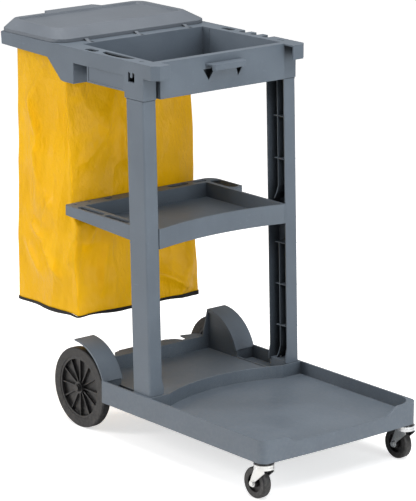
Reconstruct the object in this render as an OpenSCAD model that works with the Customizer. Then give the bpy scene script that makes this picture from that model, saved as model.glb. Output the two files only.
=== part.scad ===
// Housekeeping cart: a moulded three-level frame on two rear wheels and two swivel casters,
// with a lidded frame at the rear that carries a hanging bag.
// X runs forward from the bag to the platform, Y to the cart's left, Z up from the floor.
// Lengths along X start at a datum plane across the posts. origin_x moves the middle of the
// cart's box onto the origin.

/* [Overall] */
// Width across the base deck
cart_w = 486; // [400:1:600]
// Step in from the deck's side to the side of the posts and the top tray
upper_inset = 7; // [4:1:12]
// Height of the top tray's rim above the floor
tray_rim_z = 956; // [880:1:1160]
// Height of the middle shelf's rim above the floor
shelf_rim_z = 557; // [460:1:690]

/* [Base deck] */
// Datum to the deck's front edge
deck_front = 506; // [420:1:620]
// Bow of the front edge ahead of its ends
deck_front_bow = 5; // [0:1:8]
// Radius of the deck's front corners
deck_corner_r = 21; // [18:1:30]
// Radius of the platform recess's front corners
recess_corner_r = 50; // [40:1:70]
// Datum back to the rear end of the deck's side skirts
deck_side_rear = 96; // [90:1:115]
// Height of the deck from the skirt's lower edge to the rim
deck_h = 56; // [50:1:72]
// Drop of the front lip's low stretch below the rim
front_lip_drop = 18; // [12:1:24]
// Depth of the front platform's floor below the rim
platform_drop = 32; // [28:1:36]
// Depth of the rear deck's floor below the rim
rear_floor_drop = 23; // [18:1:26]
// Thickness of the deck's walls and floors
deck_wall = 4; // [3:0.5:5]
// Datum to the divider's straight ends
divider_x = 88; // [86:1:100]
// Bow of the divider's middle behind its curved ends
divider_bow = 33; // [10:1:40]
// Datum back to the rear wall of the rear deck
rear_wall = 207; // [195:1:215]
// Rise of the flange behind the rear wall above the rim
flange_rise = 11; // [6:1:16]
// Reach of the flange behind the rear wall
flange_reach = 44; // [30:1:50]

/* [Wheel arches] */
// Outer radius of the arch
arch_r = 123; // [120:1:135]
// Datum back to the arch's centre
arch_back = 211; // [205:1:215]
// Drop of the arch's centre below the rim
arch_drop = 43; // [36:1:50]

/* [Rear wheels] */
// Diameter of the rear wheels
wheel_d = 203; // [166:1:210]
// Width of the rear wheels
wheel_w = 26; // [22:1:30]
// Step in from the deck's side to the wheel's outer face
wheel_inset = 13; // [12:1:18]
// Datum back to the rear axle
axle_back = 211; // [205:1:216]
// Length of the spacer between the arch and the wheel
spacer_len = 15.4; // [10:0.2:18]
// Diameter of the rear axle
axle_d = 12; // [10:0.5:15]
// Radius at which the rubber tyre meets the moulded wheel
tyre_inner_r = 78; // [60:1:84]
// Number of spokes on each face of a rear wheel
spoke_count = 12; // [8:1:16]

/* [Casters] */
// Diameter of the caster wheels
caster_d = 75; // [63:1:90]
// Width of the caster wheels
caster_w = 25; // [20:1:30]
// Distance of the caster's axle behind its swivel
caster_trail = 22; // [15:1:28]
// Radius of the swivel races
race_r = 24; // [20:1:26]
// Height of the spacer between the races and the deck
cap_h = 4.5; // [3:0.5:12]
// Diameter of the swivel stem
stem_d = 11; // [9:0.5:13]
// Diameter of the caster's axle bolt
caster_bolt_d = 8; // [6:0.5:10]

/* [Posts] */
// Size of a post along the cart
post_w = 66; // [54:1:80]
// Size of a post across the cart
post_t = 37; // [30:1:45]
// Wall of the posts
post_wall = 3; // [2.5:0.5:4]
// Datum to the middle of a post's foot
post_foot = 50; // [45:1:60]
// Rearward lean of the post from foot to seam
post_lean = 21; // [0:1:30]
// Pitch of the cross ribs inside a post
post_rib_pitch = 106; // [80:1:140]

/* [Middle shelf] */
// Datum back to the shelf's rear edge
shelf_rear = 264; // [230:1:290]
// Step in from the deck's side to the shelf's side
shelf_inset = 16; // [12:1:20]
// Width of the shelf's rim
shelf_rim_w = 36; // [30:1:44]
// Depth of the shelf's basin below its rim
shelf_depth = 37; // [25:1:45]
// Depth of the front apron below the rim
apron_h = 49; // [40:1:60]
// Bow of the apron's middle behind its ends
apron_bow = 25; // [10:1:35]

/* [Top tray] */
// Datum back to the tray's rear edge
tray_rear = 506; // [430:1:610]
// Height of the tray's side skirt at the bag
tray_skirt_h = 32; // [26:1:40]
// Depth of the well below the rim
well_depth = 71; // [50:1:76]
// Datum back to the rear wall of the well
well_rear = 234; // [228:1:238]
// Datum to the front wall of the well
well_front = 52; // [44:1:54]
// Depth of the front panel
panel_h = 87; // [80:1:90]
// Depth of the sleeves that take the posts
sleeve_h = 90; // [84:1:110]
// Gap that shows between the foot of a sleeve and its post
seam_gap = 1.2; // [0.3:0.1:2]
// Wall of the tray
tray_wall = 3; // [2.5:0.5:4]
// Reach of the corner hooks ahead of the front panel
hook_reach = 35; // [30:1:45]
// Half of the front grip's width
grip_half = 52; // [44:1:58]

/* [Lid] */
// Thickness of the lid's shell
lid_wall = 3; // [2:0.5:4]
// Height of the lid's top above the tray's rim
lid_h = 28; // [22:1:34]
// Reach of the finger tab behind the lid
lid_tab = 31; // [15:1:40]
// Diameter of the hinge pins
hinge_pin_d = 5; // [4:0.5:6]
// Opening angle that the lid is drawn at
lid_open = 0; // [0:1:105]

/* [Bag] */
// Drop of the bag from the tray's skirt to its base
bag_drop = 666; // [560:1:685]
// Thickness of the bag's wall
bag_wall = 2; // [1.5:0.5:3]

/* [Clearances] */
// Gap between pieces that only rest on or slide by each other
slide_gap = 0.3; // [0.2:0.05:0.5]
// Radial gap of a shaft or a pin in its bore
shaft_gap = 0.05; // [0.03:0.01:0.1]

/* [Hidden] */
$fn = 64;

// Colours of the mouldings, steel parts and bag
grey = [0.44, 0.48, 0.53];
black = [0.07, 0.07, 0.08];
steel = [0.75, 0.77, 0.79];
yellow = [0.95, 0.70, 0.05];

// Overall
half_w = cart_w / 2;
post_y = half_w - upper_inset;
lid_overhang = 6;
origin_x = (tray_rear + lid_overhang + lid_tab - deck_front - deck_front_bow) / 2;

// Casters: the swivel stands at the centre of the deck's corner
swivel_x = deck_front - deck_corner_r;
swivel_y = half_w - deck_corner_r;
caster_r = caster_d / 2;
wheel_x = swivel_x - caster_trail;
fork_gap = 2;
fork_plate_z = caster_d + fork_gap;
race_h = 5.6;
upper_race_z = fork_plate_z + race_h + slide_gap;
cap_z = upper_race_z + race_h;
leg_t = 2.5;
leg_in = caster_w / 2 + 1.5;
rivet_h = 2.4;
caster_core_r = caster_r * 0.66;

// Heights of the deck, which stands on the casters
skirt_z = cap_z + cap_h;
deck_rim_z = skirt_z + deck_h;
front_lip_z = deck_rim_z - front_lip_drop;
platform_z = deck_rim_z - platform_drop;
rear_floor_z = deck_rim_z - rear_floor_drop;
flange_z = deck_rim_z + flange_rise;
arch_z = deck_rim_z - arch_drop;

// Posts
seam_z = tray_rim_z - sleeve_h;
post_lean_deg = atan(post_lean / (seam_z - deck_rim_z));
post_in_y = post_y - post_t;
post_corner_r = 5;
rib_t = 2;
rib_edge_gap = 6;

// Wheels
wheel_r = wheel_d / 2;
wheel_out_y = half_w - wheel_inset;
wheel_in_y = wheel_out_y - wheel_w;
arch_in_y = wheel_in_y - spacer_len - 2 * slide_gap;
arch_wall = 3;
arch_face_y = arch_in_y - arch_wall;
arch_out_y = half_w - 2;
tyre_shoulder = 6;

// Shelf
shelf_y = half_w - shelf_inset;
shelf_t = 4;
shelf_wall = 3;
shelf_floor_z = shelf_rim_z - shelf_depth;
shelf_post_y = post_in_y - slide_gap - 0.5;
shelf_front = post_mid(shelf_rim_z) + post_w / 2 + 3;
ledge_t = 4;
tongue_y = post_y - post_wall - slide_gap;
tongue_h = 20;
screw_r = 2.5;
screw_head_r = 5;
screw_head_h = 3;
screw_dx = 14;
loop_out_y = half_w - 2;

// Tray
rim_t = 4;
well_rear_y = post_in_y - 12;
well_front_y = post_in_y - 2;
well_floor_z = tray_rim_z - well_depth;
sleeve_rear = post_mid(seam_z) - post_w / 2 - 4;
sleeve_front = post_mid(seam_z) + post_w / 2 + 1;
panel_x = sleeve_front + 9;
sleeve_in_y = post_in_y - 2;
panel_y = sleeve_in_y - 5;
latch_x = post_mid(seam_z) - post_w / 6;
latch_z = tray_rim_z - 37;
window_rear = 208;
window_front = 154;
hook_z = tray_rim_z - 35;
hook_t = 4;
hook_in_y = post_y - 46;
hook_front = panel_x + hook_reach;
hook_corner = 15;
notch_xs = [-115, -72, -29];
notch_r = 12;

// Bag frame and lid
frame_lip_y = post_in_y - 4;
frame_lip_front = 291;
frame_lip_rear = tray_rear - 13;
lip_z = tray_rim_z - tray_skirt_h - 4;
lid_front = well_rear + 34;
lid_rear = tray_rear + lid_overhang;
lid_y = post_y - 1;
lid_gap = 0.4;
hinge_back = well_rear + 16;
hinge_z = tray_rim_z - 8;
hinge_span = post_in_y - 46;
hinge_ys = [-hinge_span, 0, hinge_span];
arm_w = 10;
lug_t = 4;
peg_r = 3;
peg_z = tray_rim_z - 22;
peg_xs = [for (i = [0.2, 0.5, 0.8]) -(frame_lip_front + (frame_lip_rear - frame_lip_front) * i)];

// Bag
bag_top_z = tray_rim_z - rim_t - 4;
bag_bottom_z = tray_rim_z - tray_skirt_h - bag_drop;
bag_y = frame_lip_y + slide_gap + bag_wall;
bag_base_t = 7;

// Middle of a post at height z
function post_mid(z) = post_foot - post_lean * (z - deck_rim_z) / (seam_z - deck_rim_z);

// Points along an arc about (cx, cy) from angle a0 to a1
function arc(cx, cy, r, a0, a1, n = 6) =
    [for (i = [0:n]) let (a = a0 + (a1 - a0) * i / n) [cx + r * cos(a), cy + r * sin(a)]];

// The outline's right half followed by its mirror image
function both_sides(pts) =
    concat(pts, [for (i = [len(pts) - 1:-1:0]) [pts[i][0], -pts[i][1]]]);

// Points of a shallow bow from (x, -w) to (x, w), its middle moved by b along X
function bow(x, w, b, n = 12) =
    [for (i = [0:n]) let (t = 2 * i / n - 1) [x + b * (1 - t * t), w * t]];

// A rise from 0 to 1 that starts and ends level
function ease(t) = t * t * (3 - 2 * t);

// Moves the cart's parts from the datum to the origin
module at_origin() {
    translate([origin_x, 0, 0]) children();
}

// The right-hand copy as drawn and the left-hand mirror image
module both() {
    children();
    mirror([0, 1, 0]) children();
}

// A flat outline in X and Z, made solid from y0 to y1
module slab_y(y0, y1) {
    translate([0, y1, 0]) rotate([90, 0, 0]) linear_extrude(y1 - y0) children();
}

// A flat outline in Y and Z, made solid from x0 to x1
module slab_x(x0, x1) {
    translate([x0, 0, 0]) rotate([90, 0, 90]) linear_extrude(x1 - x0) children();
}

// A flat outline in X and Y, made solid from z0 to z1
module slab_z(z0, z1) {
    translate([0, 0, z0]) linear_extrude(z1 - z0) children();
}

// A box given by its lowest and highest corner
module block(lo, hi) {
    translate(lo) cube(hi - lo);
}

// A cylinder along Y from y0 to y1
module rod_y(x, z, r, y0, y1) {
    translate([x, y1, z]) rotate([90, 0, 0]) cylinder(r = r, h = y1 - y0);
}

// A slot with round ends: centre, length along X, width
module slot_x(c, len, w) {
    translate(c) {
        square([len - w, w], center = true);
        for (s = [-1, 1]) translate([s * (len - w) / 2, 0]) circle(d = w);
    }
}

// A slot with round ends: centre, length along Y, width
module slot_y(c, len, w) {
    translate(c) rotate(90) slot_x([0, 0], len, w);
}

// Plan of the deck, moved in by d
module deck_plan(d, rear = deck_side_rear) {
    r = deck_corner_r;
    corner = arc(deck_front - r, r - half_w, r - d, -90, 0);
    polygon(concat([[-rear, d - half_w]], corner,
        bow(deck_front - d, half_w - r, deck_front_bow),
        [for (i = [len(corner) - 1:-1:0]) [corner[i][0], -corner[i][1]]],
        [[-rear, half_w - d]]));
}

// Plan of the platform's recess, moved in by d from the deck's sides
module recess_plan(d) {
    r = recess_corner_r;
    corner = arc(deck_front - d - r, d + r - half_w, r, -90, 0, 8);
    polygon(concat([[-deck_side_rear - 20, d - half_w]], corner,
        bow(deck_front - d, half_w - d - r, deck_front_bow),
        [for (i = [len(corner) - 1:-1:0]) [corner[i][0], -corner[i][1]]],
        [[-deck_side_rear - 20, half_w - d]]));
}

// Front face of the divider, moved by dx
function divider_line(dx) = let (y = half_w - 79)
    concat([[divider_x + dx, 1 - half_w], [divider_x + dx, -y - 16]],
        bow(divider_x - 8 + dx, y, -divider_bow),
        [[divider_x + dx, y + 16], [divider_x + dx, half_w - 1]]);

// Wall between the platform and the rear deck
module divider() {
    back = divider_line(-deck_wall);
    slab_z(platform_z - deck_wall, deck_rim_z) polygon(concat(divider_line(0),
        [for (i = [len(back) - 1:-1:0]) back[i]]));
}

// Low stretch of the front lip with a smooth rise at each end
module lip_cut() {
    rise = 45;
    y1 = half_w - recess_corner_r - 11;
    right = [for (i = [0:8]) [-y1 + rise * i / 8,
        deck_rim_z + 0.5 - (deck_rim_z + 0.5 - front_lip_z) * ease(i / 8)]];
    slab_x(deck_front - 40, deck_front + 20) polygon(concat(right,
        [for (i = [8:-1:0]) [-right[i][0], right[i][1]]], [[y1, 300], [-y1, 300]]));
}

// Curved skirt and rim round the platform
module deck_shell() {
    difference() {
        union() {
            slab_z(skirt_z, deck_rim_z) difference() {
                deck_plan(0);
                deck_plan(deck_wall, deck_side_rear + 9);
            }
            slab_z(platform_z - deck_wall, deck_rim_z) difference() {
                deck_plan(1);
                recess_plan(deck_wall + 1);
            }
            slab_z(platform_z - deck_wall, platform_z) difference() {
                deck_plan(2);
                translate([-200, -arch_face_y]) square([240, 2 * arch_face_y]);
            }
        }
        lip_cut();
    }
    divider();
}

// Floor, rear wall and notched flange of the rear deck
module rear_deck() {
    curve = divider_line(-1);
    slab_z(rear_floor_z - deck_wall, rear_floor_z) polygon(concat(
        [[-rear_wall - 1, arch_in_y], [-rear_wall - 1, -arch_in_y],
            [divider_x - 9, -arch_in_y]],
        [for (i = [2:len(curve) - 3]) curve[i]], [[divider_x - 9, arch_in_y]]));
    block([-rear_wall - deck_wall, -arch_in_y, platform_z - deck_wall],
        [-rear_wall, arch_in_y, flange_z]);
    tab = -rear_wall - flange_reach;
    notch = -rear_wall - 11;
    in_y = arch_face_y / 2 + 8;
    slab_z(flange_z - deck_wall, flange_z) polygon(both_sides(concat(
        [[-rear_wall, -arch_in_y], [notch, -arch_in_y + 4]],
        arc(notch, -in_y - 50, 26, 255, 180, 4), [[tab, -in_y - 30], [tab, -in_y - 26],
            [notch - 8, -in_y - 24], [notch, -in_y - 20], [notch, -in_y - 6]],
        arc(notch, -in_y + 20, 24, 258, 180, 4), [[tab + 4, -in_y + 26], [tab + 4, 0]])));
    both() block([-deck_side_rear - 3, -arch_in_y - 1, platform_z - deck_wall],
        [divider_x - 2, -arch_face_y, rear_floor_z + 3]);
}

// Outline of a lug round the axle that reaches up and forward to the deck
module axle_lug(r, reach) {
    translate([-axle_back, wheel_r]) circle(r = r);
    polygon([[-axle_back - r + 2, wheel_r + 4], [-rear_wall - 3, platform_z + 2],
        [-rear_wall + reach, rear_floor_z - 1], [-axle_back + r - 1, wheel_r - 4]]);
}

// Outline of an arch's inner wall with the lug that holds the axle
module arch_wall_outline() {
    end = asin((deck_rim_z - arch_z) / arch_r);
    polygon(concat([[-arch_back, platform_z - deck_wall]],
        arc(-arch_back, arch_z, arch_r - 2, 90, end, 16),
        [[-deck_side_rear, platform_z - deck_wall]]));
    axle_lug(16, 40);
}

// Quarter ring of an arch, t thick, down to height z
module arch_band(t, z) {
    intersection() {
        translate([-arch_back, arch_z]) difference() {
            circle(r = arch_r, $fn = 96);
            circle(r = arch_r - t, $fn = 96);
        }
        translate([-arch_back, z]) square(arch_r + 10);
    }
}

// Right wheel arch
module arch() {
    slab_y(-arch_in_y, -arch_face_y) arch_wall_outline();
    slab_y(-arch_out_y, -arch_face_y - 0.5) arch_band(arch_wall + 1, deck_rim_z - 4);
    slab_y(-arch_face_y - 1, -arch_face_y + 3) arch_band(arch_wall + 6, deck_rim_z - 6);
    slab_x(-rear_wall - deck_wall, -rear_wall) polygon([[-arch_in_y, flange_z - 1],
        [-arch_face_y + 20, flange_z - 1], [-arch_face_y + 3, arch_z + arch_r - 2],
        [-arch_in_y, arch_z + arch_r - 2]]);
    block([-deck_side_rear - deck_wall, -half_w + 1, skirt_z],
        [-deck_side_rear, -arch_face_y - 0.8, deck_rim_z]);
}

// Ribs under the floors and the inner lugs that carry the axle
module deck_ribs() {
    rib_z = skirt_z + 6;
    for (y = [-0.4, 0, 0.4]) {
        translate([0, y * half_w, 0]) {
            block([-axle_back + 24, -1.5, rib_z],
                [divider_x - divider_bow - 14, 1.5, rear_floor_z - 1]);
            block([40, -1.5, rib_z], [deck_front - 2, 1.5, platform_z - 1]);
        }
    }
    for (x = [0.28, 0.55, 0.8]) {
        block([x * deck_front, 2 - half_w, rib_z], [x * deck_front + 3, half_w - 2, platform_z - 1]);
    }
    for (y = [-0.25, 0.25]) translate([0, y * half_w, 0]) slab_y(-2, 2) axle_lug(14, 34);
}

// Raised seat under a post's foot, cored from below, and the caster's socket
module seat_and_socket() {
    difference() {
        union() {
            block([post_foot - post_w / 2, 1 - half_w, platform_z - 1],
                [post_foot + post_w / 2, -post_in_y, deck_rim_z]);
            translate([swivel_x, -swivel_y, skirt_z])
                cylinder(r = deck_corner_r - 1, h = platform_z - skirt_z - 1);
        }
        block([post_foot - post_w / 2 + 4, 8 - half_w, 0],
            [post_foot + post_w / 2 - 4, -post_in_y - 3, deck_rim_z - 5]);
    }
}

// Holes that run up through the deck from below
module deck_holes() {
    for (s = [-1, 1]) translate([post_foot + s * screw_dx, -post_in_y - post_t / 2, 0])
        cylinder(r = screw_r + shaft_gap, h = deck_rim_z + 1);
    block([post_foot - post_w / 2 + 4, 8 - half_w, 0],
        [post_foot + post_w / 2 - 4, -post_in_y - 3, platform_z + 1]);
    translate([swivel_x, -swivel_y, skirt_z - 1])
        cylinder(d = stem_d + 2 * shaft_gap, h = platform_z - deck_wall - skirt_z);
}

// Base deck: platform, rear deck, wheel arches and sockets in one moulding
module base_deck() {
    color(grey) at_origin() difference() {
        union() {
            deck_shell();
            rear_deck();
            deck_ribs();
            both() {
                arch();
                seat_and_socket();
            }
        }
        both() deck_holes();
        rod_y(-axle_back, wheel_r, axle_d / 2 + shaft_gap, -half_w, half_w);
    }
}

// Section of a post: a channel open towards the middle of the cart
module post_section() {
    r = post_corner_r;
    w = post_w / 2;
    difference() {
        polygon(concat(arc(r - w, r - post_y, r, 180, 270), arc(w - r, r - post_y, r, 270, 360),
            [[w, -post_in_y], [-w, -post_in_y]]));
        translate([post_wall - w, post_wall - post_y])
            square([post_w - 2 * post_wall, post_t]);
    }
}

// Central rib from z0 to z1, its foot swept towards the rear
module swept_rib(z0, z1) {
    slab_y(-post_y + 1, -post_in_y - rib_edge_gap) polygon([[-rib_t / 2, z1], [rib_t / 2, z1],
        [rib_t / 2, z0 + 34], [-4, z0 + 16], [-14, z0], [-17, z0], [-7, z0 + 18],
        [-rib_t / 2, z0 + 35]]);
}

// Ribs inside a post, in the post's own leaning frame
module post_ribs() {
    length = seam_z - deck_rim_z;
    shelf = shelf_rim_z - deck_rim_z;
    swept_rib(shelf + 4, length + 10);
    swept_rib(4, shelf - post_rib_pitch);
    levels = [for (k = [-8:8]) if (k != 0) shelf + k * post_rib_pitch];
    for (z = levels) if (z > 30 && z < length - 30)
        block([-14, -post_y + 1, z], [post_w / 2 - 1, -post_in_y - rib_edge_gap, z + rib_t]);
    for (x = [-post_w / 2, post_w / 2 - post_wall]) slab_x(x, x + post_wall)
        polygon([[-post_in_y - 1, 0], [-post_in_y + 5, 0], [-post_in_y + 5, 14],
            [-post_in_y, 38], [-post_in_y - 1, 38]]);
}

// Right post: channel, foot plate, shelf ledge and the neck that enters the tray's sleeve
module post() {
    mid = post_mid(seam_z);
    shelf_mid = post_mid(shelf_floor_z);
    neck_top = tray_rim_z - rim_t;
    difference() {
        union() {
            intersection() {
                translate([post_foot, 0, deck_rim_z]) rotate([0, -post_lean_deg, 0]) {
                    slab_z(-30, seam_z - deck_rim_z + 30) post_section();
                    post_ribs();
                }
                block([-300, -post_y - 1, deck_rim_z], [300, 0, seam_z]);
            }
            block([post_foot - post_w / 2 + 2, -post_y + 1, deck_rim_z],
                [post_foot + post_w / 2 - 2, -post_in_y, deck_rim_z + 4]);
            block([shelf_mid - post_w / 2 + 1, -post_y + 1, shelf_floor_z - ledge_t],
                [shelf_mid + post_w / 2 - 1, -post_in_y - 3, shelf_floor_z]);
            difference() {
                block([mid - post_w / 2 + 1, -post_y + 1, seam_z - 3],
                    [mid + post_w / 2 - 1, -post_in_y, seam_z]);
                neck_core(mid, neck_top);
            }
            difference() {
                block([mid - post_w / 2 + 2, -post_y + post_wall + slide_gap, seam_z - 3],
                    [mid + post_w / 2 - 3, -post_in_y - 4, neck_top]);
                neck_core(mid, neck_top);
            }
        }
        block([latch_x - 12, -post_y - 1, latch_z - 12],
            [latch_x + 12, -post_y + 9, latch_z + 8]);
        for (s = [-1, 1]) {
            translate([post_foot + s * screw_dx, -post_in_y - post_t / 2, deck_rim_z - 1])
                cylinder(r = screw_r + shaft_gap, h = 14);
            translate([shelf_mid + s * screw_dx, -post_in_y - post_t / 2,
                shelf_floor_z - ledge_t - 1]) cylinder(r = screw_r + shaft_gap, h = 8);
        }
    }
}

// Hollow of a post's neck
module neck_core(mid, top) {
    block([mid - post_w / 2 + 6, -post_y + 7, seam_z - 10], [mid + post_w / 2 - 7, -post_in_y - 8, top + 1]);
}

module right_post() {
    color(grey) at_origin() post();
}

module left_post() {
    color(grey) at_origin() mirror([0, 1, 0]) post();
}

// Screws that hold the posts' feet from below
module post_screws() {
    color(steel) at_origin() both() for (s = [-1, 1])
        translate([post_foot + s * screw_dx, -post_in_y - post_t / 2, deck_rim_z - 5]) {
            translate([0, 0, -screw_head_h]) cylinder(r = screw_head_r, h = screw_head_h);
            cylinder(r = screw_r, h = 14);
        }
}

// Screws that hold the shelf's tongues on the posts' ledges
module shelf_screws() {
    mid = post_mid(shelf_floor_z);
    color(steel) at_origin() both() for (s = [-1, 1])
        translate([mid + s * screw_dx, -post_in_y - post_t / 2, shelf_floor_z - ledge_t]) {
            translate([0, 0, -screw_head_h]) cylinder(r = screw_head_r, h = screw_head_h);
            cylinder(r = screw_r, h = ledge_t + 12);
        }
}

// Plan of the shelf's rim: the right side stops behind its post, the left side has a holder loop
module shelf_plan() {
    rear_of_post = post_mid(shelf_floor_z) - post_w / 2 - 2 - slide_gap;
    polygon(concat([[-shelf_rear, 0], [-shelf_rear, 6 - shelf_y], [6 - shelf_rear, -shelf_y],
            [rear_of_post, -shelf_y], [rear_of_post, -shelf_post_y],
            [shelf_front, -shelf_post_y]],
        bow(shelf_front, shelf_post_y - 6, -apron_bow),
        [[shelf_front, shelf_post_y], [-130, shelf_post_y], [-138, loop_out_y - 10]],
        arc(-146, loop_out_y - 8, 8, 0, 90, 4),
        arc(28 - shelf_rear, loop_out_y - 28, 28, 90, 180, 6)));
}

// Plan of the basin, moved in by d
module basin_plan(d) {
    y = shelf_post_y - 3 - d;
    front = shelf_front - 1 - d;
    polygon(concat([[shelf_rim_w - shelf_rear + d, y], [shelf_rim_w - shelf_rear + d, -y]],
        bow(front, y, -apron_bow)));
}

// Holes and slots through the shelf's rim
module shelf_holes_plan() {
    mid_x = -shelf_rear + shelf_rim_w / 2 - 3;
    side_y = (shelf_y + shelf_post_y) / 2;
    translate([mid_x, -shelf_y + 24]) circle(r = 4);
    translate([mid_x, -shelf_y + 66]) circle(r = 4);
    slot_y([mid_x, -shelf_y * 0.45], 22, 13);
    slot_y([mid_x, shelf_y * 0.52], 64, 20);
    slot_y([mid_x + 2, shelf_y - 39], 40, 16);
    slot_x([-shelf_rear + 92, -side_y], 98, 18);
    slot_x([-shelf_rear + 195, -side_y], 92, 18);
    slot_x([-shelf_rear + 74, (loop_out_y + shelf_post_y) / 2 + 1.4], 94, 33);
}

// Shelf: rim, basin, front apron and the tongues that enter the posts
module middle_shelf() {
    mid = post_mid(shelf_floor_z);
    color(grey) at_origin() difference() {
        union() {
            slab_z(shelf_rim_z - shelf_t, shelf_rim_z) difference() {
                shelf_plan();
                basin_plan(shelf_wall);
                shelf_holes_plan();
            }
            shelf_skirt();
            slab_z(shelf_floor_z - shelf_t, shelf_rim_z) difference() {
                basin_plan(0);
                basin_plan(shelf_wall);
            }
            slab_z(shelf_floor_z - shelf_t, shelf_floor_z) basin_plan(1);
            slab_z(shelf_rim_z - apron_h, shelf_rim_z) apron_plan();
            both() shelf_tongue(mid);
        }
        both() for (s = [-1, 1]) translate([mid + s * screw_dx, -post_in_y - post_t / 2,
            shelf_floor_z - 1]) cylinder(r = screw_r + shaft_gap, h = 14);
    }
}

// Skirt round the shelf, deeper towards the posts
module shelf_skirt() {
    low = shelf_rim_z - shelf_depth - 1;
    difference() {
        slab_z(low + 1, shelf_rim_z) difference() {
            shelf_plan();
            shelf_inner_plan();
        }
        slab_y(-half_w, half_w) polygon([[-shelf_rear - 1, low], [-shelf_rear - 1, low + 13],
            [-shelf_rear + 12, low + 13], [post_mid(shelf_floor_z) - post_w / 2, low + 1],
            [post_mid(shelf_floor_z) - post_w / 2, low]]);
    }
}

// Tongue with a raised web that rests on a post's ledge
module shelf_tongue(mid) {
    block([mid - post_w / 2 + 6, -tongue_y, shelf_floor_z],
        [mid + post_w / 2 - 6, -shelf_post_y + 4, shelf_floor_z + tongue_h]);
}

// Everything inside the shelf's outer skirt
module shelf_inner_plan() {
    w = shelf_wall;
    rear_of_post = post_mid(shelf_floor_z) - post_w / 2 - 2 - slide_gap;
    polygon(concat([[w - shelf_rear, 0], [w - shelf_rear, w + 6 - shelf_y],
            [w + 6 - shelf_rear, w - shelf_y], [rear_of_post - w, w - shelf_y],
            [rear_of_post - w, w - shelf_post_y], [shelf_front - w, w - shelf_post_y]],
        bow(shelf_front - w, shelf_post_y - 6, -apron_bow),
        [[shelf_front - w, shelf_post_y - w], [-130 - w, shelf_post_y - w],
            [-138 - w, loop_out_y - 10]],
        arc(-146, loop_out_y - 8, 8 - w, 0, 90, 4),
        arc(28 - shelf_rear, loop_out_y - 28, 28 - w, 90, 180, 6)));
}

// Apron under the bowed front edge with short returns beside the posts
module apron_plan() {
    back = bow(shelf_front - shelf_wall, shelf_post_y - 6, -apron_bow);
    polygon(concat([[shelf_front, -shelf_post_y]],
        bow(shelf_front, shelf_post_y - 6, -apron_bow), [[shelf_front, shelf_post_y],
            [shelf_front - shelf_wall, shelf_post_y]],
        [for (i = [len(back) - 1:-1:0]) back[i]], [[shelf_front - shelf_wall, -shelf_post_y]]));
    for (s = [-1, 1]) translate([shelf_front - 14, s * (shelf_post_y - 1.5) - 1.5]) square([14, 3]);
}

// Plan of the well, moved in by d
module well_plan(d) {
    polygon([[d - well_rear, d - well_rear_y], [well_front - d, d - well_front_y],
        [well_front - d, well_front_y - d], [d - well_rear, well_rear_y - d]]);
}

// Notches in the rim's left edge that grip handles
module finger_notches() {
    for (x = notch_xs) {
        translate([x, post_y - notch_r - 2]) circle(r = notch_r);
        translate([x - notch_r, post_y - notch_r - 2]) square([2 * notch_r, notch_r + 8]);
    }
}

// Slots in the tray's rim for tools and bottles
module rim_holes_plan() {
    y = (well_rear_y + post_y) / 2 + 3;
    slot_x([-157, -y - 3], 42, 20);
    flat = post_y - 33;
    polygon(concat([[-122, -flat], [-8, -flat]],
        [for (i = [0:12]) [-65 + 57 * cos(15 * i), -flat - 6 - 17 * sin(15 * i)]]));
    slot_x([latch_x + 15, -y - 2], 14, 8);
    slot_x([-167, y], 44, 19);
    slot_x([latch_x + 13, y], 22, 8);
    finger_notches();
    for (h = hinge_ys) translate([-hinge_back - 17, h - arm_w / 2 - 1])
        square([30, arm_w + 2]);
}

// Plan of the tray's rim
module rim_plan() {
    r = 6;
    polygon(both_sides(concat(arc(r - tray_rear, r - post_y, r, 180, 270, 3),
        [[hook_front - hook_corner, -post_y], [hook_front, hook_corner - post_y],
            [hook_front, -hook_in_y], [panel_x, -hook_in_y], [panel_x, 0]])));
}

// Side of the tray in X and Z: a low skirt beside the bag that steps down to the well
module tray_side_outline() {
    low = tray_rim_z - panel_h - 1;
    mid = tray_rim_z - 75;
    skirt = tray_rim_z - tray_skirt_h;
    polygon([[-tray_rear, tray_rim_z - 1], [3 - tray_rear, skirt], [-window_rear - 105, skirt - 5],
        [-window_rear - 51, low + 2], [-window_rear - 40, low], [-window_rear, low],
        [-window_rear, skirt - 5], [-window_front, skirt - 5], [-window_front, mid],
        [sleeve_rear + 1, mid], [sleeve_rear + 1, tray_rim_z - 1]]);
}

// Sleeve over the neck of the right post, with the tongue that snaps into the neck's window
module sleeve() {
    t = tray_wall;
    difference() {
        block([sleeve_rear, -post_y, seam_z + seam_gap], [sleeve_front, -sleeve_in_y, tray_rim_z - 1]);
        block([sleeve_rear + t, -post_y + t, 0],
            [sleeve_front - t, -sleeve_in_y - t, tray_rim_z - rim_t]);
        block([latch_x - 12, -post_y - 1, latch_z - 12], [latch_x + 12, -post_y + t + 1, latch_z - 1]);
        for (s = [-1, 1]) block([latch_x + s * 8 - 4, -post_y - 1, latch_z - 12],
            [latch_x + s * 8 + 4, -post_y + t + 1, latch_z + 11]);
    }
    slab_x(latch_x - 4, latch_x + 4) polygon([[-post_y + t - 0.5, latch_z - 1],
        [-post_y + t + 2.6, latch_z + 2], [-post_y + t + 2.6, latch_z + 7.7],
        [-post_y + t - 0.5, latch_z + 7.7]]);
}

// Hook at the right front corner for a mop or a broom handle
module corner_hook() {
    x0 = sleeve_front - 4;
    x1 = hook_front;
    y1 = post_y;
    c = hook_corner;
    t = hook_t;
    slab_z(hook_z, tray_rim_z - 1) polygon([[x0, -y1], [x1 - c, -y1], [x1, c - y1],
        [x1, -hook_in_y], [x1 - t, -hook_in_y], [x1 - t, c + 1.5 - y1], [x1 - c - 1.5, t - y1],
        [x0, t - y1]]);
}

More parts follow.
